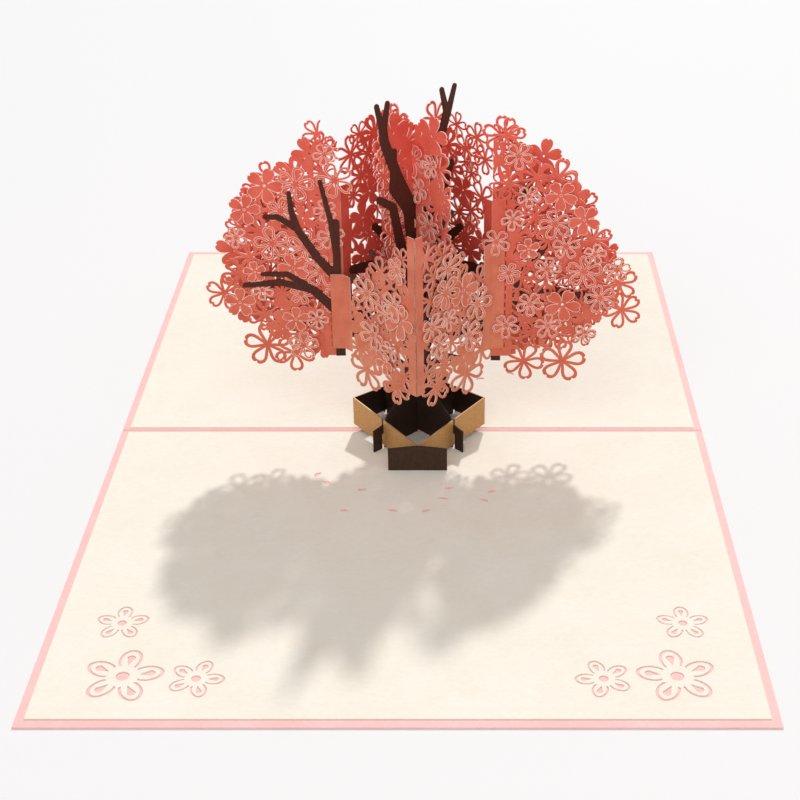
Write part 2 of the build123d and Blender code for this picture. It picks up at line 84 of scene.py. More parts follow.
def add_node(tree: bpy.types.NodeTree, kind: str, inputs: dict | None = None,
             **settings: object) -> bpy.types.Node:
    """Adds one node, sets it up and links it.

    Args:
        tree: the node tree that takes it.
        kind: the node's type name.
        inputs: a value, or a socket to link from, for each input by name or number.
        **settings: the node's own properties.

    Returns:
        The new node.
    """
    node = tree.nodes.new(kind)
    for name, value in settings.items():
        setattr(node, name, value)
    for key, value in (inputs or {}).items():
        if isinstance(value, bpy.types.NodeSocket):
            tree.links.new(value, node.inputs[key])
        else:
            node.inputs[key].default_value = value
    return node


def new_material(name: str) -> tuple[bpy.types.Material, bpy.types.NodeTree]:
    """Makes an empty node material.

    Args:
        name: the real material's name.

    Returns:
        The material and its cleared node tree.
    """
    material = bpy.data.materials.new(name)
    material.use_nodes = True
    material.node_tree.nodes.clear()
    return material, material.node_tree


def ramp(tree: bpy.types.NodeTree, factor: bpy.types.NodeSocket,
         stops: Sequence[tuple[float, str]]) -> bpy.types.NodeSocket:
    """Blends colours along a factor.

    Args:
        tree: the node tree.
        factor: the socket that picks the place, from 0 to 1.
        stops: places and sRGB colours, in order.

    Returns:
        The colour socket.
    """
    node = add_node(tree, "ShaderNodeValToRGB", {"Fac": factor})
    elements = node.color_ramp.elements
    while len(elements) < len(stops):
        elements.new(0.5)
    for element, (place, colour) in zip(elements, stops):
        element.position = place
        element.color = linear(colour)
    return node.outputs["Color"]


def fibre(tree: bpy.types.NodeTree, size_mm: float, stretch: tuple[float, float, float],
          detail: float) -> bpy.types.NodeSocket:
    """Paper fibre: soft noise of a real size, longer along the machine direction.

    Args:
        tree: the node tree.
        size_mm: the width of one tuft.
        stretch: how the pattern is squeezed along X, Y and Z.
        detail: octaves of finer fibre.

    Returns:
        A value socket from 0 to 1.
    """
    place = add_node(tree, "ShaderNodeTexCoord")
    squeezed = add_node(tree, "ShaderNodeMapping", {"Vector": place.outputs["Object"], "Scale": stretch})
    noise = add_node(tree, "ShaderNodeTexNoise",
                     {"Vector": squeezed.outputs["Vector"], "Scale": 1 / (size_mm * MM),
                      "Detail": detail, "Roughness": 0.6})
    return noise.outputs["Fac"]


def height_factor(tree: bpy.types.NodeTree, low_mm: float, high_mm: float) -> bpy.types.NodeSocket:
    """How far up the card a point is, from 0 at a low level to 1 at a high one.

    Args:
        tree: the node tree.
        low_mm: the level that gives 0.
        high_mm: the level that gives 1.

    Returns:
        A value socket.
    """
    place = add_node(tree, "ShaderNodeTexCoord")
    parts = add_node(tree, "ShaderNodeSeparateXYZ", {"Vector": place.outputs["Object"]})
    level = add_node(tree, "ShaderNodeMapRange",
                     {"Value": parts.outputs["Z"], "From Min": low_mm * MM, "From Max": high_mm * MM})
    return level.outputs["Result"]


def tinted(tree: bpy.types.NodeTree, colour: bpy.types.NodeSocket, pattern: bpy.types.NodeSocket,
           shade: str, amount: float) -> bpy.types.NodeSocket:
    """Darkens a colour in the hollows of a pattern.

    Args:
        tree: the node tree.
        colour: the colour to start from.
        pattern: the pattern, from 0 to 1.
        shade: the sRGB colour that is multiplied in.
        amount: the most of the shade that shows.

    Returns:
        The tinted colour socket.
    """
    strength = add_node(tree, "ShaderNodeMapRange",
                        {"Value": pattern, "From Min": 0.3, "From Max": 0.7, "To Min": 0.0,
                         "To Max": amount})
    mix = add_node(tree, "ShaderNodeMix", {"Factor": strength.outputs["Result"], 6: colour,
                                           7: linear(shade)}, data_type="RGBA", blend_type="MULTIPLY")
    return mix.outputs[2]


def bumped(tree: bpy.types.NodeTree, pattern: bpy.types.NodeSocket, depth_mm: float
           ) -> bpy.types.NodeSocket:
    """A normal that follows a pattern of a real depth.

    Args:
        tree: the node tree.
        pattern: the pattern, from 0 to 1.
        depth_mm: how deep its hollows are.

    Returns:
        The normal socket.
    """
    bump = add_node(tree, "ShaderNodeBump", {"Height": pattern, "Distance": depth_mm * MM,
                                             "Strength": 1.0})
    return bump.outputs["Normal"]


def close(tree: bpy.types.NodeTree, shader: bpy.types.Node) -> None:
    """Links a shader to the material's output."""
    add_node(tree, "ShaderNodeOutputMaterial", {"Surface": shader.outputs[0]})


# ---- finishes ----------------------------------------------------------------------------


@dataclass(frozen=True)
class SmoothCard:
    """Coated-one-side card of about 300 g: matte, even, with a faint cloudy formation."""

    name: str
    colour: str
    shade: str
    fibre_mm: float = 1.1  # real formation is about 0.5 mm, drawn coarser so that it shows
    cloud_mm: float = 14.0
    bump_mm: float = 0.012
    roughness: float = 0.62

    def material(self) -> bpy.types.Material:
        """Makes the card's material."""
        made, tree = new_material(self.name)
        grain = fibre(tree, self.fibre_mm, (1.0, 1.0, 1.0), 3.0)
        cloud = fibre(tree, self.cloud_mm, (1.0, 0.6, 1.0), 2.0)
        flat = add_node(tree, "ShaderNodeRGB")
        flat.outputs[0].default_value = linear(self.colour)
        colour = tinted(tree, flat.outputs[0], grain, self.shade, 0.22)
        colour = tinted(tree, colour, cloud, self.shade, 0.18)
        shader = add_node(tree, "ShaderNodeBsdfPrincipled",
                          {"Base Color": colour, "Roughness": self.roughness, "IOR": 1.5,
                           "Specular IOR Level": 0.3, "Normal": bumped(tree, grain, self.bump_mm)})
        close(tree, shader)
        return made


@dataclass(frozen=True)
class FeltPaper:
    """Felt-marked writing paper: warm, soft, with short fibres that lie along the sheet."""

    name: str
    colour: str
    shade: str
    tuft_mm: float = 1.6  # felt marks are near 0.8 mm, drawn coarser so that they show
    bump_mm: float = 0.018
    roughness: float = 0.8

    def material(self) -> bpy.types.Material:
        """Makes the paper's material."""
        made, tree = new_material(self.name)
        felt = fibre(tree, self.tuft_mm, (1.0, 1.7, 1.0), 4.0)
        cloud = fibre(tree, 22.0, (1.0, 1.0, 1.0), 2.0)
        flat = add_node(tree, "ShaderNodeRGB")
        flat.outputs[0].default_value = linear(self.colour)
        colour = tinted(tree, flat.outputs[0], felt, self.shade, 0.30)
        colour = tinted(tree, colour, cloud, self.shade, 0.20)
        shader = add_node(tree, "ShaderNodeBsdfPrincipled",
                          {"Base Color": colour, "Roughness": self.roughness, "IOR": 1.5,
                           "Specular IOR Level": 0.2, "Normal": bumped(tree, felt, self.bump_mm)})
        close(tree, shader)
        return made


@dataclass(frozen=True)
class BlossomPaper:
    """Dyed coral tissue-weight card. Its colour fades from coral at the top to salmon at the foot:
    painted light, a lit top and a foot in painted shade with warm bounce light from the cream sheets.
    """

    name: str
    foot: str
    middle: str
    top: str
    foot_mm: float = 22.0
    top_mm: float = 118.0
    fibre_mm: float = 0.9
    bump_mm: float = 0.015
    roughness: float = 0.7

    def material(self) -> bpy.types.Material:
        """Makes the sheet's face material."""
        made, tree = new_material(self.name)
        # Painted light: colour by height, lit coral at the top, painted shade with warm bounce towards
        # the foot.
        level = height_factor(tree, self.foot_mm, self.top_mm)
        colour = ramp(tree, level, ((0.0, self.foot), (0.45, self.middle), (1.0, self.top)))
        grain = fibre(tree, self.fibre_mm, (1.0, 1.0, 1.0), 3.0)
        blotch = fibre(tree, 7.0, (1.0, 1.0, 1.0), 1.0)
        colour = tinted(tree, colour, grain, "#EBC4BA", 0.35)
        colour = tinted(tree, colour, blotch, "#E9B3A6", 0.55)
        shader = add_node(tree, "ShaderNodeBsdfPrincipled",
                          {"Base Color": colour, "Roughness": self.roughness, "IOR": 1.5,
                           "Specular IOR Level": 0.25, "Normal": bumped(tree, grain, self.bump_mm)})
        close(tree, shader)
        return made


@dataclass(frozen=True)
class CutEdge:
    """The laser-cut edge of dyed paper: its pale core, a little scorched in places."""

    name: str
    colour: str
    scorch: str

    def material(self) -> bpy.types.Material:
        """Makes the edge's material."""
        made, tree = new_material(self.name)
        burn = fibre(tree, 2.5, (1.0, 1.0, 1.0), 2.0)
        flat = add_node(tree, "ShaderNodeRGB")
        flat.outputs[0].default_value = linear(self.colour)
        colour = tinted(tree, flat.outputs[0], burn, self.scorch, 0.5)
        shader = add_node(tree, "ShaderNodeBsdfPrincipled",
                          {"Base Color": colour, "Roughness": 0.85, "IOR": 1.5,
                           "Specular IOR Level": 0.1, "Normal": bumped(tree, burn, 0.01)})
        close(tree, shader)
        return made


@dataclass(frozen=True)
class BranchCard:
    """Through-dyed brown card with a laser-cut edge, warmer where it is up among the blossoms: that
    redder top is painted light, coral light bounced from the blossoms.
    """

    name: str
    foot: str
    top: str
    fibre_mm: float = 0.9
    bump_mm: float = 0.02
    roughness: float = 0.66

    def material(self) -> bpy.types.Material:
        """Makes the card's material."""
        made, tree = new_material(self.name)
        # Painted light: the brown turns redder with height, standing in for coral light bounced from the
        # blossoms.
        level = height_factor(tree, 10.0, 60.0)
        colour = ramp(tree, level, ((0.0, self.foot), (1.0, self.top)))
        grain = fibre(tree, self.fibre_mm, (1.0, 1.0, 0.5), 3.0)
        colour = tinted(tree, colour, grain, "#B79E90", 0.6)
        shader = add_node(tree, "ShaderNodeBsdfPrincipled",
                          {"Base Color": colour, "Roughness": self.roughness, "IOR": 1.5,
                           "Specular IOR Level": 0.3, "Normal": bumped(tree, grain, self.bump_mm)})
        close(tree, shader)
        return made


@dataclass(frozen=True)
class PearlCard:
    """Card with a gold pearl coat, gold on the side away from the tree's axis; the side toward the axis
    is painted dark brown, painted shade.
    """

    name: str
    gold: str
    brown: str
    core: str
    axis_x: float
    pearl_mm: float = 0.7  # mica flakes are under 0.1 mm, drawn coarser so that they glint
    bump_mm: float = 0.02

    def material(self) -> bpy.types.Material:
        """Makes the card's material, with painted shade on its inward side."""
        made, tree = new_material(self.name)
        place = add_node(tree, "ShaderNodeTexCoord")
        shape = add_node(tree, "ShaderNodeNewGeometry")
        from_axis = add_node(tree, "ShaderNodeVectorMath",
                             {0: place.outputs["Object"], 1: (self.axis_x, 0.0, 0.0)},
                             operation="SUBTRACT")
        outward = add_node(tree, "ShaderNodeVectorMath",
                           {0: from_axis.outputs[0], 1: shape.outputs["True Normal"]},
                           operation="DOT_PRODUCT")
        faces_outward = add_node(tree, "ShaderNodeMath", {0: outward.outputs["Value"], 1: 0.0},
                          operation="GREATER_THAN")
        flakes = fibre(tree, self.pearl_mm, (1.0, 1.0, 1.0), 4.0)
        flat = add_node(tree, "ShaderNodeRGB")
        flat.outputs[0].default_value = linear(self.gold)
        gold = tinted(tree, flat.outputs[0], flakes, "#C9A578", 0.55)
        # Painted shade: faces turned toward the tree's axis take the dark brown in place of the gold.
        sides = add_node(tree, "ShaderNodeMix",
                         {"Factor": faces_outward.outputs[0], 6: linear(self.brown), 7: gold}, data_type="RGBA")
        facing = add_node(tree, "ShaderNodeSeparateXYZ", {"Vector": shape.outputs["True Normal"]})
        upright = add_node(tree, "ShaderNodeMath", {0: facing.outputs["Z"]}, operation="ABSOLUTE")
        edge = add_node(tree, "ShaderNodeMath", {0: upright.outputs[0], 1: 0.5},
                        operation="GREATER_THAN")
        colour = add_node(tree, "ShaderNodeMix",
                          {"Factor": edge.outputs[0], 6: sides.outputs[2], 7: linear(self.core)},
                          data_type="RGBA")
        pearl = add_node(tree, "ShaderNodeMath", {0: faces_outward.outputs[0], 1: 0.3}, operation="MULTIPLY")
        shader = add_node(tree, "ShaderNodeBsdfPrincipled",
                          {"Base Color": colour.outputs[2], "Metallic": pearl.outputs[0],
                           "Roughness": 0.5, "Normal": bumped(tree, flakes, self.bump_mm)})
        close(tree, shader)
        return made


# ---- blossom shapes ----------------------------------------------------------------------


class Petals(Enum):
    """How a blossom's petals are cut."""

    OPEN = "one round teardrop hole in each petal"
    HEART = "one teardrop hole with a nick at its tip"
    SLIT = "a slim hole, so that the petal is mostly paper"
    SOLID = "solid petals round a pin-hole"


# Half of one petal of radius 1, from the valley beside the centre to the nick in the tip.
PETAL_EDGE: Loop = [(0.18, 0.13), (0.31, 0.205), (0.45, 0.272), (0.60, 0.315), (0.75, 0.315),
                    (0.88, 0.255), (0.965, 0.135), (0.955, 0.06), (0.885, 0.0)]
HOLE_EDGES: dict[Petals, Loop] = {
    Petals.OPEN: [(0.15, 0.0), (0.34, 0.082), (0.50, 0.150), (0.63, 0.192), (0.74, 0.180),
                  (0.81, 0.105), (0.825, 0.0)],
    Petals.HEART: [(0.15, 0.0), (0.34, 0.085), (0.50, 0.155), (0.64, 0.200), (0.76, 0.185),
                   (0.83, 0.100), (0.755, 0.0)],
    Petals.SLIT: [(0.24, 0.0), (0.40, 0.050), (0.55, 0.090), (0.68, 0.080), (0.76, 0.0)],
}
PIN_HOLE = 0.06  # share of the radius
PIN_CORNERS = 8
PETAL_COUNT = 5


@dataclass(frozen=True)
class Blossom:
    """One five-petal blossom on a sheet. Places are in mm along the sheet and up the card."""

    u: float
    z: float
    diameter: float
    turn: float = 0.0
    petals: Petals = Petals.OPEN

    def placed(self, loop: Loop, petal: int) -> Loop:
        """Puts a loop of unit size where one petal is.

        Args:
            loop: the loop, along the petal's axis.
            petal: which of the five petals.

        Returns:
            The loop on the sheet, in mm.
        """
        angle = math.radians(self.turn + petal * 360 / PETAL_COUNT)
        size = self.diameter / 2
        turned = (math.cos(angle) * size, math.sin(angle) * size)
        return [(self.u + x * turned[0] - y * turned[1], self.z + x * turned[1] + y * turned[0])
                for x, y in loop]

    def outline(self) -> Loop:
        """The blossom's outer edge."""
        half = PETAL_EDGE
        petal = [(x, -y) for x, y in half[:-1]] + half[::-1]
        return [p for number in range(PETAL_COUNT) for p in self.placed(petal, number)]

    def holes(self) -> list[Loop]:
        """The holes inside the blossom."""
        if self.petals is Petals.SOLID:
            steps = range(PIN_CORNERS)
            ring = [(PIN_HOLE * math.cos(2 * math.pi * k / PIN_CORNERS),
                     PIN_HOLE * math.sin(2 * math.pi * k / PIN_CORNERS)) for k in steps]
            return [self.placed(ring, 0)]
        half = HOLE_EDGES[self.petals]
        hole = [(x, -y) for x, y in half[:-1]] + half[:0:-1]
        return [self.placed(hole, number) for number in range(PETAL_COUNT)]


def inside(point: Point, zone: Loop) -> bool:
    """True where a point lies in a zone with straight sides."""
    x, z = point
    crossings = 0
    for (x0, z0), (x1, z1) in zip(zone, zone[1:] + zone[:1]):
        if (z0 > z) != (z1 > z) and x < x0 + (z - z0) * (x1 - x0) / (z1 - z0):
            crossings += 1
    return crossings % 2 == 1


@dataclass(frozen=True)
class Scatter:
    """How blossoms are strewn over a zone: a loosely staggered grid with a fixed seed."""

    spacing: float
    sizes: tuple[float, ...]
    seed: int
    jitter: float = 1.5
    solid_share: float = 0.16
    slit_share: float = 0.18

    def over(self, zone: Loop) -> list[Blossom]:
        """Strews blossoms over a zone.

        Args:
            zone: the zone's corners, in mm.

        Returns:
            The blossoms whose centres lie in it.
        """
        chance = random.Random(self.seed)
        if not zone:
            return []
        low_u, high_u = min(u for u, _ in zone), max(u for u, _ in zone)
        z, high_z = min(z for _, z in zone), max(z for _, z in zone)
        found: list[Blossom] = []
        row = 0
        while z <= high_z:
            u = low_u + (row % 2) * self.spacing / 2
            while u <= high_u:
                spot = (u + chance.uniform(-self.jitter, self.jitter),
                        z + chance.uniform(-self.jitter, self.jitter))
                size = chance.choice(self.sizes)
                turn = chance.uniform(0, 360 / PETAL_COUNT)
                draw = chance.random()
                if draw < self.solid_share:
                    style = Petals.SOLID
                elif draw < self.solid_share + self.slit_share:
                    style = Petals.SLIT
                else:
                    style = chance.choice((Petals.OPEN, Petals.HEART))
                if inside(spot, zone):
                    found.append(Blossom(*spot, size, turn, style))
                u += self.spacing
            row += 1
            z += self.spacing * math.sqrt(3) / 2
        return found


# ---- cutting and raising sheets ----------------------------------------------------------


def box_loop(left: float, right: float, low: float, high: float) -> Loop:
    """A rectangle as a loop."""
    return [(left, low), (right, low), (right, high), (left, high)]


def triangulated(loops: Sequence[Loop]) -> tuple[Loop, list[Sequence[int]], list[set[int]]]:
    """Cuts the plane along loops into triangles.

    Args:
        loops: closed loops, which may cross.

    Returns:
        The corners, the triangles, and for each triangle the loops that hold it.
    """
    corners = [Vector(point) for loop in loops for point in loop]
    faces = []
    start = 0
    for loop in loops:
        faces.append(list(range(start, start + len(loop))))
        start += len(loop)
    points, _, triangles, _, _, owners = delaunay_2d_cdt(corners, [], faces, ALL_INSIDE, WELD, True)
    return [tuple(p) for p in points], triangles, [set(o) for o in owners]


def largest_island(triangles: Sequence[Sequence[int]]) -> list[Sequence[int]]:
    """Keeps the triangles that hang together in the biggest sheet, joined edge to edge."""
    by_edge: dict[tuple[int, int], list[int]] = {}
    for number, corners in enumerate(triangles):
        for a, b in zip(corners, (*corners[1:], corners[0])):
            by_edge.setdefault((min(a, b), max(a, b)), []).append(number)
    beside: list[list[int]] = [[] for _ in triangles]
    for sharing in by_edge.values():
        for number in sharing:
            beside[number].extend(n for n in sharing if n != number)
    seen: set[int] = set()
    best: list[int] = []
    for first in range(len(triangles)):
        if first in seen:
            continue
        island, waiting = [], [first]
        seen.add(first)
        while waiting:
            number = waiting.pop()
            island.append(number)
            for other in beside[number]:
                if other not in seen:
                    seen.add(other)
                    waiting.append(other)
        if len(island) > len(best):
            best = island
    return [triangles[number] for number in best]


@dataclass(frozen=True)
class SheetPlane:
    """Where a flat sheet stands. u runs along it, z up, and height out from its shown face."""

    origin: Vector  # metres, on the shown face at u = 0
    along: Vector
    facing: Vector

    def point(self, u: float, z: float, height: float) -> Vector:
        """The place in metres of a point given in mm."""
        return self.origin + (self.along * u + self.facing * height) * MM + Vector((0, 0, z * MM))

    @property
    def flips(self) -> bool:
        """True where a loop that runs counter-clockwise in u and z faces inward."""
        return self.along.cross(Vector((0, 0, 1))).dot(self.facing) < 0


@dataclass(frozen=True)
class Ripple:
    """The slow wave of a thin sheet that is held at one edge."""

    amount: float = 0.5
    wave_u: float = 37.0
    wave_z: float = 46.0
    phase: float = 0.0
    free_from: float = 4.0
    free_by: float = 18.0

    def height(self, u: float, z: float) -> float:
        """The sheet's height off its plane, in mm."""
        free = min(1.0, max(0.0, (abs(u) - self.free_from) / (self.free_by - self.free_from)))
        swell = 0.5 - 0.5 * math.cos(2 * math.pi * u / self.wave_u + self.phase)
        return self.amount * free * swell * (0.6 + 0.4 * math.cos(2 * math.pi * z / self.wave_z))


@dataclass
class PaperMesh:
    """Collects cut sheets and loose-petalled blossoms into one mesh of paper with real thickness."""

    paper: float = 0.36
    points: list[Vector] = field(default_factory=list)
    faces: list[tuple[int, ...]] = field(default_factory=list)
    slots: list[int] = field(default_factory=list)

    def thicken(self, plane: SheetPlane, flat: Loop, triangles: Sequence[Sequence[int]],
                pale: Sequence[bool], top: Height, thickness: float) -> None:
        """Adds a flat cut shape as a sheet with two faces and cut edges.

        Args:
            plane: where the sheet stands.
            flat: the shape's corners in u and z.
            triangles: its triangles.
            pale: for each triangle, whether it shows the paper's pale core.
            top: the height of the shown face over the plane.
            thickness: the paper's thickness in mm.
        """
        used = sorted({corner for triangle in triangles for corner in triangle})
        base = len(self.points)
        number = {corner: base + 2 * k for k, corner in enumerate(used)}
        for corner in used:
            u, z = flat[corner]
            height = top(u, z)
            self.points.append(plane.point(u, z, height))
            self.points.append(plane.point(u, z, height - thickness))
        edges: dict[tuple[int, int], int] = {}
        for triangle, light in zip(triangles, pale):
            ring = tuple(triangle[::-1]) if plane.flips else tuple(triangle)
            self.faces.append(tuple(number[c] for c in ring))
            self.faces.append(tuple(number[c] + 1 for c in ring[::-1]))
            self.slots += [1 if light else 0, 0]
            for a, b in zip(ring, ring[1:] + ring[:1]):
                edges[(a, b)] = edges.get((a, b), 0) + 1
        for a, b in edges:
            if (b, a) not in edges:
                self.faces.append((number[b], number[a], number[a] + 1, number[b] + 1))
                self.slots.append(1)

    def add_lace(self, plane: SheetPlane, blossoms: Sequence[Blossom], solids: Sequence[Loop],
                 cuts: Sequence[Loop], clip: Loop, top: Height) -> None:
        """Adds a lace sheet: blossoms and solid strips joined, with slits cut and its folds trimmed.

        Args:
            plane: where the sheet stands.
            blossoms: the blossoms whose paper joins up.
            solids: solid strips of the sheet.
            cuts: slits cut through everything.
            clip: the part of the plane that the sheet may fill.
            top: the height of the shown face over the plane.
        """
        loops: list[Loop] = [clip, *cuts]
        first_shape = len(loops)
        shape_of: dict[int, int] = {}
        hole_of: dict[int, int] = {}
        for shape, blossom in enumerate(blossoms):
            shape_of[len(loops)] = shape
            loops.append(blossom.outline())
            for hole in blossom.holes():
                hole_of[len(loops)] = shape
                loops.append(hole)
        for extra, solid in enumerate(solids):
            shape_of[len(loops)] = len(blossoms) + extra
            loops.append(solid)
        flat, triangles, owners = triangulated(loops)
        kept = []
        for triangle, held in zip(triangles, owners):
            if 0 not in held or any(0 < loop < first_shape for loop in held):
                continue
            paper = {shape_of[loop] for loop in held if loop in shape_of}
            if paper - {hole_of[loop] for loop in held if loop in hole_of}:
                kept.append(triangle)
        whole = largest_island(kept)
        self.thicken(plane, flat, whole, [False] * len(whole), top, self.paper)

    def add_raised(self, plane: SheetPlane, blossom: Blossom, under: Height, cup: float,
                   tilt: Point, thickness: float) -> None:
        """Adds a blossom that stands proud of its sheet, with a pale bevelled cut edge.

        Args:
            plane: where the sheet stands.
            blossom: the blossom.
            under: the height of the sheet that it is held to.
            cup: how far its petal tips rise.
            tilt: how far it leans along u and z, as a slope.
            thickness: the paper's thickness in mm.
        """
        bevel = 0.16
        outline = blossom.outline()
        holes = blossom.holes()
        loops = [outline, narrowed(outline, bevel), *holes, *(narrowed(h, -bevel) for h in holes)]
        flat, triangles, owners = triangulated(loops)
        hole_ids = set(range(2, 2 + len(holes)))
        rim_ids = set(range(2 + len(holes), len(loops)))
        kept, pale = [], []
        for triangle, held in zip(triangles, owners):
            if 0 in held and not held & hole_ids:
                kept.append(triangle)
                pale.append(1 not in held or bool(held & rim_ids))
        radius = blossom.diameter / 2

        def top(u: float, z: float) -> float:
            """The height of the raised blossom's shown face."""
            du, dz = u - blossom.u, z - blossom.z
            reach = (du * du + dz * dz) / radius ** 2
            return (under(blossom.u, blossom.z) + thickness + cup * reach
                    + tilt[0] * du + tilt[1] * dz + max(abs(tilt[0]), abs(tilt[1])) * radius * 0.4)

        self.thicken(plane, flat, kept, pale, top, thickness)

    def built(self, name: str, finishes: Sequence[bpy.types.Material]) -> bpy.types.Object:
        """Makes the Blender object.

        Args:
            name: the piece's name.
            finishes: the face and cut-edge materials.

        Returns:
            The object, flat shaded so that its folds stay crisp.
        """
        mesh = bpy.data.meshes.new(name)
        mesh.from_pydata(self.points, [], self.faces)
        for material in finishes:
            mesh.materials.append(material)
        mesh.polygons.foreach_set("material_index", self.slots)
        mesh.update()
        made = bpy.data.objects.new(name, mesh)
        bpy.context.scene.collection.objects.link(made)
        log.info("%s: %d faces", name, len(self.faces))
        return made


def narrowed(loop: Loop, distance: float) -> Loop:
    """Moves a counter-clockwise loop's corners inward, or outward for a negative distance."""
    moved: Loop = []
    for before, here, after in zip(loop[-1:] + loop[:-1], loop, loop[1:] + loop[:1]):
        run = Vector((after[0] - before[0], after[1] - before[1]))
        inward = Vector((-run.y, run.x)).normalized() * distance
        moved.append((here[0] + inward.x, here[1] + inward.y))
    return moved


# ---- the object's sub-assemblies -----------------------------------------------------------


@dataclass(frozen=True)
class Panel:
    """One flat panel of a blossom sheet: its zone, its strips and the blossoms that stand out."""

    plane: SheetPlane
    zone: Loop
    seed: int
    named: tuple[Blossom, ...] = ()
    strips: tuple[Loop, ...] = ()
    slits: tuple[Loop, ...] = ()
    near: float = 0.0
    far: float = 60.0
    raised_zone: Loop | None = None
    ripple: Ripple = Ripple(amount=0.0)
    cup: float = 0.5
    lean: float = 0.06
    loose: float = 0.3  # thickness of the raised petals' paper
    spacing: float = 8.0
    raised_spacing: float = 11.5


@dataclass
class BlossomSheet:
    """One piece of cut blossom paper, of one or more panels."""

    name: str
    node: str
    panels: list[Panel]
    sizes: tuple[float, ...] = (9.0, 10.5, 12.0, 13.5)
    raised_sizes: tuple[float, ...] = (8.0, 9.5, 11.0, 12.5)

    def build(self, face: bpy.types.Material, edge: bpy.types.Material) -> bpy.types.Object:
        """Builds the sheet and lets it stand for its CAD node.

        Args:
            face: the paper's face.
            edge: the paper's cut edge.

        Returns:
            The finished piece.
        """
        mesh = PaperMesh()
        for panel in self.panels:
            self.fill(mesh, panel)
        made = mesh.built(self.name, (face, edge))
        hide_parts(self.node)
        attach(made, "root")
        return made

    def fill(self, mesh: PaperMesh, panel: Panel) -> None:
        """Adds one panel's lace and its raised blossoms to the mesh."""
        lace = Scatter(panel.spacing, self.sizes, panel.seed).over(panel.zone)
        clip = box_loop(panel.near, panel.far, 0.0, 140.0)
        mesh.add_lace(panel.plane, [*lace, *panel.named], panel.strips, panel.slits, clip,
                      panel.ripple.height)
        if panel.raised_zone is None:
            return
        chance = random.Random(panel.seed + 500)
        proud = Scatter(panel.raised_spacing, self.raised_sizes, panel.seed + 900, jitter=2.6,
                        solid_share=0.2, slit_share=0.12)
        for blossom in proud.over(panel.raised_zone):
            lean = (chance.uniform(-panel.lean, panel.lean), chance.uniform(-panel.lean, panel.lean))
            mesh.add_raised(panel.plane, blossom, panel.ripple.height,
                            panel.cup * chance.uniform(0.5, 1.2), lean, panel.loose)


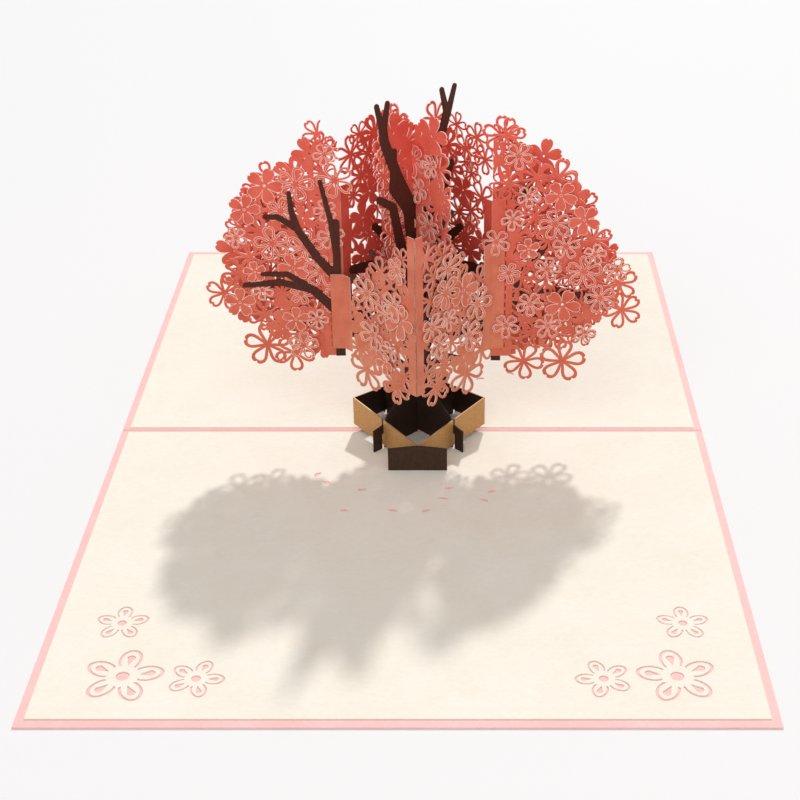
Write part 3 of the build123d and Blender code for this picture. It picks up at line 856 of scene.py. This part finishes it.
@dataclass
class Canopy:
    """The eight blossom sheets round the trunk. Sizes in mm; places come from the CAD sheets."""

    tab: float = 4.0
    sheet: float = 0.4
    spine: float = 3.4
    fan_start: float = 5.0
    fan_angle: float = 9.0

    def vee_panels(self, node: str, sign: int) -> tuple[SheetPlane, SheetPlane, float]:
        """The outer faces of a folded vee.

        Args:
            node: the CAD node of the vee.
            sign: -1 for the front vee and 1 for the back one.

        Returns:
            The left plane, the right plane and the panels' length in mm.
        """
        low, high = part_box(node)
        left_x = low.x + self.tab * MM
        right_x = high.x - self.tab * MM
        middle_x = (left_x + right_x) / 2
        if sign < 0:
            vertex_y, corner_y = low.y, high.y - self.sheet * MM
        else:
            vertex_y, corner_y = high.y, low.y + self.sheet * MM
        vertex = Vector((middle_x, vertex_y, 0))
        planes = []
        for corner_x in (left_x, right_x):
            run = Vector((corner_x, corner_y, 0)) - vertex
            along = run.normalized()
            facing = Vector((along.y, -along.x, 0))
            if facing.y * sign < 0:
                facing = -facing
            planes.append(SheetPlane(vertex, along, facing))
        return planes[0], planes[1], run.length / MM

    def tabs(self, node: str, sign: int, side: int) -> SheetPlane:
        """The plane of a vee's glue tab, which lies on the wing's root."""
        low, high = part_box(node)
        corner_x = low.x + self.tab * MM if side < 0 else high.x - self.tab * MM
        face_y = high.y - self.sheet * MM if sign < 0 else low.y + self.sheet * MM
        return SheetPlane(Vector((corner_x, face_y, 0)), Vector((side, 0, 0)), Vector((0, sign, 0)))

    def wing_plane(self, node: str, side: int, facing: int) -> SheetPlane:
        """The shown face of a flat wing that runs out from a side corner."""
        low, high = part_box(node)
        root_x = high.x if side < 0 else low.x
        face_y = low.y if facing < 0 else high.y
        return SheetPlane(Vector((root_x, face_y, 0)), Vector((side, 0, 0)), Vector((0, facing, 0)))

    def fan_planes(self, node: str, side: int) -> tuple[SheetPlane, SheetPlane]:
        """The root and the leaf of a wing that is fanned back, both shown from behind."""
        low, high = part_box(node)
        root_x = high.x if side < 0 else low.x
        face_y = low.y + self.sheet * MM
        root = SheetPlane(Vector((root_x, face_y, 0)), Vector((side, 0, 0)), Vector((0, 1, 0)))
        angle = math.radians(self.fan_angle)
        bend = Vector((root_x + side * self.fan_start * MM, face_y, 0))
        along = Vector((side * math.cos(angle), math.sin(angle), 0))
        facing = Vector((-side * math.sin(angle), math.cos(angle), 0))
        return root, SheetPlane(bend, along, facing)

    def crown_plane(self, slope: int, facing: Vector, axis_x: float) -> SheetPlane:
        """The shown face of a sheet glued to a trunk sheet, through the tree's axis."""
        along = Vector((1, slope, 0)).normalized()
        out = facing.normalized()
        return SheetPlane(Vector((axis_x, 0, 0)) + out * (1.5 * self.sheet * MM), along, out)

    def sheets(self) -> list[BlossomSheet]:
        """Lays out every sheet of the canopy.

        Returns:
            The sheets, ready to build.
        """
        front_left, front_right, run = self.vee_panels("front_vee_blossoms", -1)
        back_left, back_right, _ = self.vee_panels("back_vee_blossoms", 1)
        axis_x = front_left.origin.x
        spine = self.spine
        front_left_zone = [(2, 30), (12, 28), (26, 30), (32, 36), (32, 55), (22, 66), (12, 73), (2, 77)]
        front_right_zone = [(2, 29), (14, 28), (26, 29), (32, 36), (32, 64), (24, 68), (14, 73), (2, 77)]
        back_zone = [(2, 40), (18, 36), (32, 42), (32, 104), (24, 108), (12, 106), (2, 99)]
        crown_zone = [(-14, 58), (14, 58), (14, 100), (10, 109), (3, 106), (-3, 106), (-10, 109),
                      (-14, 100)]
        left_zone = [(1, 33), (8, 32), (18, 34), (26, 38), (32, 45), (37, 52), (38, 60), (35, 70),
                     (32, 80), (26, 90), (18, 98), (10, 106), (1, 111)]
        right_zone = [(1, 30), (10, 30), (18, 33), (27, 32), (32, 38), (39, 44), (43, 50), (41, 62),
                      (38, 72), (34, 82), (27, 91), (18, 99), (10, 105), (1, 111)]
        dashes = tuple(box_loop(4.3, 4.6, z, z + 1.9) for z in range(33, 88, 3))
        front = BlossomSheet("front_vee_lace", "front_vee_blossoms", [
            Panel(front_left, front_left_zone, 21, near=0.0, far=run,
                  named=(Blossom(24, 29, 16.5, 12, Petals.OPEN), Blossom(10, 28, 13.5, 50, Petals.HEART)),
                  strips=(box_loop(0, spine, 28, 83), box_loop(run - spine, run, 33, 60)),
                  raised_zone=[(6, 34), (28, 34), (28, 52), (18, 64), (6, 72)], cup=0.9, lean=0.12,
                  spacing=7.6, raised_spacing=10.0),
            Panel(front_right, front_right_zone, 22, near=0.0, far=run,
                  named=(Blossom(9, 28, 13.5, 30, Petals.HEART), Blossom(23, 28, 16.5, 60, Petals.OPEN)),
                  strips=(box_loop(0, spine, 28, 83), box_loop(run - spine, run, 33, 71)),
                  raised_zone=[(6, 34), (28, 34), (28, 60), (18, 68), (6, 72)], cup=0.9, lean=0.12,
                  spacing=7.6, raised_spacing=10.0),
            Panel(self.tabs("front_vee_blossoms", -1, -1), [], 0, far=self.tab,
                  strips=(box_loop(0, self.tab, 33, 60),)),
            Panel(self.tabs("front_vee_blossoms", -1, 1), [], 0, far=self.tab,
                  strips=(box_loop(0, self.tab, 33, 71),)),
        ])
        back = BlossomSheet("back_vee_lace", "back_vee_blossoms", [
            Panel(back_left, back_zone, 31, near=0.0, far=run,
                  named=(Blossom(12, 36, 16.5, 12), Blossom(26, 39, 14.0, 50)),
                  strips=(box_loop(0, spine, 34, 95), box_loop(run - spine, run, 40, 90)),
                  raised_zone=[(6, 44), (28, 46), (28, 100), (6, 94)], cup=0.9, lean=0.12),
            Panel(back_right, back_zone, 32, near=0.0, far=run,
                  named=(Blossom(11, 36, 16.5, 30), Blossom(25, 39, 14.0, 60)),
                  strips=(box_loop(0, spine, 34, 95), box_loop(run - spine, run, 40, 85)),
                  raised_zone=[(6, 44), (28, 46), (28, 100), (6, 94)], cup=0.9, lean=0.12),
            Panel(self.tabs("back_vee_blossoms", 1, -1), [], 0, far=self.tab,
                  strips=(box_loop(0, self.tab, 40, 90),)),
            Panel(self.tabs("back_vee_blossoms", 1, 1), [], 0, far=self.tab,
                  strips=(box_loop(0, self.tab, 40, 85),)),
        ])
        lap = 0.9
        crown_a = BlossomSheet("crown_lace_a", "crown_blossoms_a", [
            Panel(self.crown_plane(1, Vector((-1, 1, 0)), axis_x), crown_zone, 11,
                  named=(Blossom(-9, 110, 13.5, 10, Petals.SOLID), Blossom(9, 110, 13.5, 40)),
                  strips=(box_loop(-spine, spine, 46, 104),), slits=(box_loop(-lap, 0.4, 0, 62),),
                  near=-16.0, far=16.0, raised_zone=crown_zone, cup=0.9, lean=0.1, spacing=7.8),
        ])
        crown_b = BlossomSheet("crown_lace_b", "crown_blossoms_b", [
            Panel(self.crown_plane(-1, Vector((-1, -1, 0)), axis_x), crown_zone, 12,
                  named=(Blossom(-8, 109, 13.5, 30), Blossom(8, 109, 13.5, 5, Petals.SOLID)),
                  strips=(box_loop(-spine, spine, 46, 104),), slits=(box_loop(-lap, 0.4, 62, 130),),
                  near=-16.0, far=16.0, raised_zone=crown_zone, cup=0.9, lean=0.1, spacing=7.8),
        ])
        left = BlossomSheet("left_wing_lace", "left_wing_blossoms", [
            Panel(self.wing_plane("left_wing_blossoms", -1, -1), left_zone, 41,
                  named=(Blossom(26, 34, 16.5, 15), Blossom(17, 31, 14.5, 50),
                         Blossom(39, 53, 13.0, 30, Petals.HEART)),
                  strips=(box_loop(0, 2 * spine, 30, 90),), slits=dashes,
                  raised_zone=left_zone, cup=0.12, lean=0.0, loose=0.2),
        ])
        right = BlossomSheet("right_wing_lace", "right_wing_blossoms", [
            Panel(self.wing_plane("right_wing_blossoms", 1, -1), right_zone, 51,
                  named=(Blossom(24, 28, 16.5, 10), Blossom(43, 47, 14.0, 40, Petals.HEART),
                         Blossom(11, 28, 14.5, 62)),
                  strips=(box_loop(0, 2 * spine, 30, 86),), slits=dashes,
                  raised_zone=right_zone, cup=0.8, lean=0.1),
        ])
        left_root, left_leaf = self.fan_planes("left_wing_rear_blossoms", -1)
        right_root, right_leaf = self.fan_planes("right_wing_rear_blossoms", 1)
        rears = []
        for name, node, root, leaf, zone, seed in (
                ("left_wing_rear_lace", "left_wing_rear_blossoms", left_root, left_leaf, left_zone, 42),
                ("right_wing_rear_lace", "right_wing_rear_blossoms", right_root, right_leaf,
                 right_zone, 52)):
            shifted = [(u - self.fan_start, z) for u, z in zone]
            rears.append(BlossomSheet(name, node, [
                Panel(root, [], 0, far=self.fan_start,
                      strips=(box_loop(0, self.fan_start, 30, 90),)),
                Panel(leaf, shifted, seed, strips=(box_loop(0, spine, 30, 90),),
                      raised_zone=shifted, cup=0.8, lean=0.1),
            ]))
        return [front, back, crown_a, crown_b, left, right, *rears]

    def build(self) -> list[bpy.types.Object]:
        """Builds and dresses the canopy.

        Returns:
            Its pieces.
        """
        edge = CutEdge("laser_cut_coral_paper_edge", "#FFE0D2", "#F2A48E").material()
        # Three copies of one coral paper. The front vee's salmon copy is painted shade under the canopy;
        # the deeper, redder copy on the back vee and first crown sheet is painted shade too.
        front_shade_coral = BlossomPaper("coral_paper_painted_shade", "#E08F70", "#E68A6E", "#F0806A").material()
        coral = BlossomPaper("coral_paper_painted_light_by_height", "#DB7C62", "#EA7560", "#F6705F").material()
        deep = BlossomPaper("coral_paper_painted_deep_shade", "#D2604C", "#E3604F", "#F26858").material()
        faces = {"front_vee_lace": front_shade_coral, "back_vee_lace": deep, "crown_lace_a": deep}
        return [sheet.build(faces.get(sheet.name, coral), edge) for sheet in self.sheets()]


@dataclass
class CardLeaves:
    """The pink cover and the two cream sheets, dressed as they come from CAD."""

    cover: SmoothCard = SmoothCard("pink_cover_card", "#FBCFCB", "#F3C2BE")
    cream: FeltPaper = FeltPaper("cream_felt_paper", "#FAF5EA", "#F1E8D8")

    def dress(self) -> None:
        """Gives each sheet its finish."""
        put_on("cover", self.cover.material())
        cream = self.cream.material()
        put_on("front_inner_sheet", cream)
        put_on("back_inner_sheet", cream)


@dataclass
class BaseLattice:
    """The gold strips, with painted shade in brown on their inward faces, and the low bands that hold
    them to the leaves.
    """

    def dress(self) -> None:
        """Gives each strip its finish."""
        low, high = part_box("base_left_strip")
        pearl = PearlCard("pearl_gold_card_painted_inner_shade", "#CF9F63", "#3A261A", "#B9936B", axis_x=high.x).material()
        put_on("base_left_strip", pearl)
        put_on("base_right_strip", pearl)
        band = BranchCard("brown_band_card", "#422C1B", "#4D3421").material()
        put_on("base_front_band", band)
        put_on("base_back_band", band)


@dataclass
class Branches:
    """The trunk sheets and every branch sheet."""

    nodes: tuple[str, ...] = ("trunk_sheet_a", "trunk_sheet_b", "front_vee_branches",
                              "back_vee_branches", "left_wing_branches", "right_wing_branches")

    def dress(self) -> None:
        """Gives each sheet the brown card."""
        brown = BranchCard("brown_branch_card_painted_bounce_light", "#38251A", "#562516").material()
        for node in self.nodes:
            put_on(node, brown)


def put_on(node: str, material: bpy.types.Material) -> None:
    """Dresses a CAD node with one material."""
    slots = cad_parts[node].data.materials
    slots.clear()
    slots.append(material)
    log.info("%s wears %s", node, material.name)


# ---- camera and light ----------------------------------------------------------------------


@dataclass(frozen=True)
class Viewpoint:
    """The camera, above the front edge, looking down along the card. Lengths in mm."""

    right: float = 15.1
    back: float = 446.8
    up: float = 267.5
    down_angle: float = 29.71
    lens: float = 67.8
    shift: float = -0.0698  # the tree stands left of the lens axis

    def place(self) -> None:
        """Makes the camera and gives it to the scene."""
        data = bpy.data.cameras.new("camera")
        data.lens = self.lens
        data.sensor_width = 36.0
        data.shift_x = self.shift
        made = bpy.data.objects.new("camera", data)
        made.location = Vector((self.right, -self.back, self.up)) * MM
        made.rotation_euler = (math.radians(90 - self.down_angle), 0, 0)
        bpy.context.scene.collection.objects.link(made)
        bpy.context.scene.camera = made


@dataclass(frozen=True)
class Studio:
    """A pale floor, an even soft room and one soft key from behind, a little to the right."""

    floor: str = "#F1F0F0"
    room: str = "#FFFFFF"
    room_strength: float = 0.5
    key_strength: float = 1.9
    key_spread: float = 3.0  # degrees
    key_height: float = 42.0
    key_side: float = 10.0
    fill_strength: float = 0.8

    def build(self) -> None:
        """Makes the floor, the room light and the lamps."""
        scene = bpy.context.scene
        scene.view_settings.view_transform = "Standard"
        world = bpy.data.worlds.new("studio")
        world.use_nodes = True
        backdrop = world.node_tree.nodes["Background"]
        backdrop.inputs["Color"].default_value = linear(self.room)
        backdrop.inputs["Strength"].default_value = self.room_strength
        scene.world = world
        self.sun("key", self.key_strength, self.key_spread, self.key_height, 180 - self.key_side)
        self.sun("fill", self.fill_strength, 60.0, 40.0, -12.0)
        size = 6.0
        mesh = bpy.data.meshes.new("floor")
        mesh.from_pydata([(-size, -size, 0), (size, -size, 0), (size, size, 0), (-size, size, 0)], [],
                         [(0, 1, 2, 3)])
        material, tree = new_material("painted_table_top")
        shader = add_node(tree, "ShaderNodeBsdfPrincipled",
                          {"Base Color": linear(self.floor), "Roughness": 0.7,
                           "Specular IOR Level": 0.2})
        close(tree, shader)
        mesh.materials.append(material)
        made = bpy.data.objects.new("floor", mesh)
        scene.collection.objects.link(made)

    def sun(self, name: str, strength: float, spread: float, height: float, turn: float) -> None:
        """Adds one broad distant lamp.

        Args:
            name: the lamp's name.
            strength: its strength on a face turned to it.
            spread: how wide it looks from the card, in degrees.
            height: its height over the table, in degrees.
            turn: its bearing in degrees, 0 in front of the card and 90 at its right.
        """
        data = bpy.data.lights.new(name, "SUN")
        data.energy = strength
        data.angle = math.radians(spread)
        made = bpy.data.objects.new(name, data)
        level, bearing = math.radians(height), math.radians(turn)
        toward = Vector((math.sin(bearing) * math.cos(level), -math.cos(bearing) * math.cos(level),
                         math.sin(level)))
        made.rotation_euler = toward.to_track_quat("Z", "Y").to_euler()
        bpy.context.scene.collection.objects.link(made)


def main() -> None:
    """Builds the card's looks in order."""
    logging.basicConfig(level=logging.INFO, format="%(message)s")
    Viewpoint().place()
    Studio().build()
    CardLeaves().dress()
    BaseLattice().dress()
    Branches().dress()
    for piece in Canopy().build():
        log.info("%s is in place", piece.name)


if __name__ == "__main__":
    main()
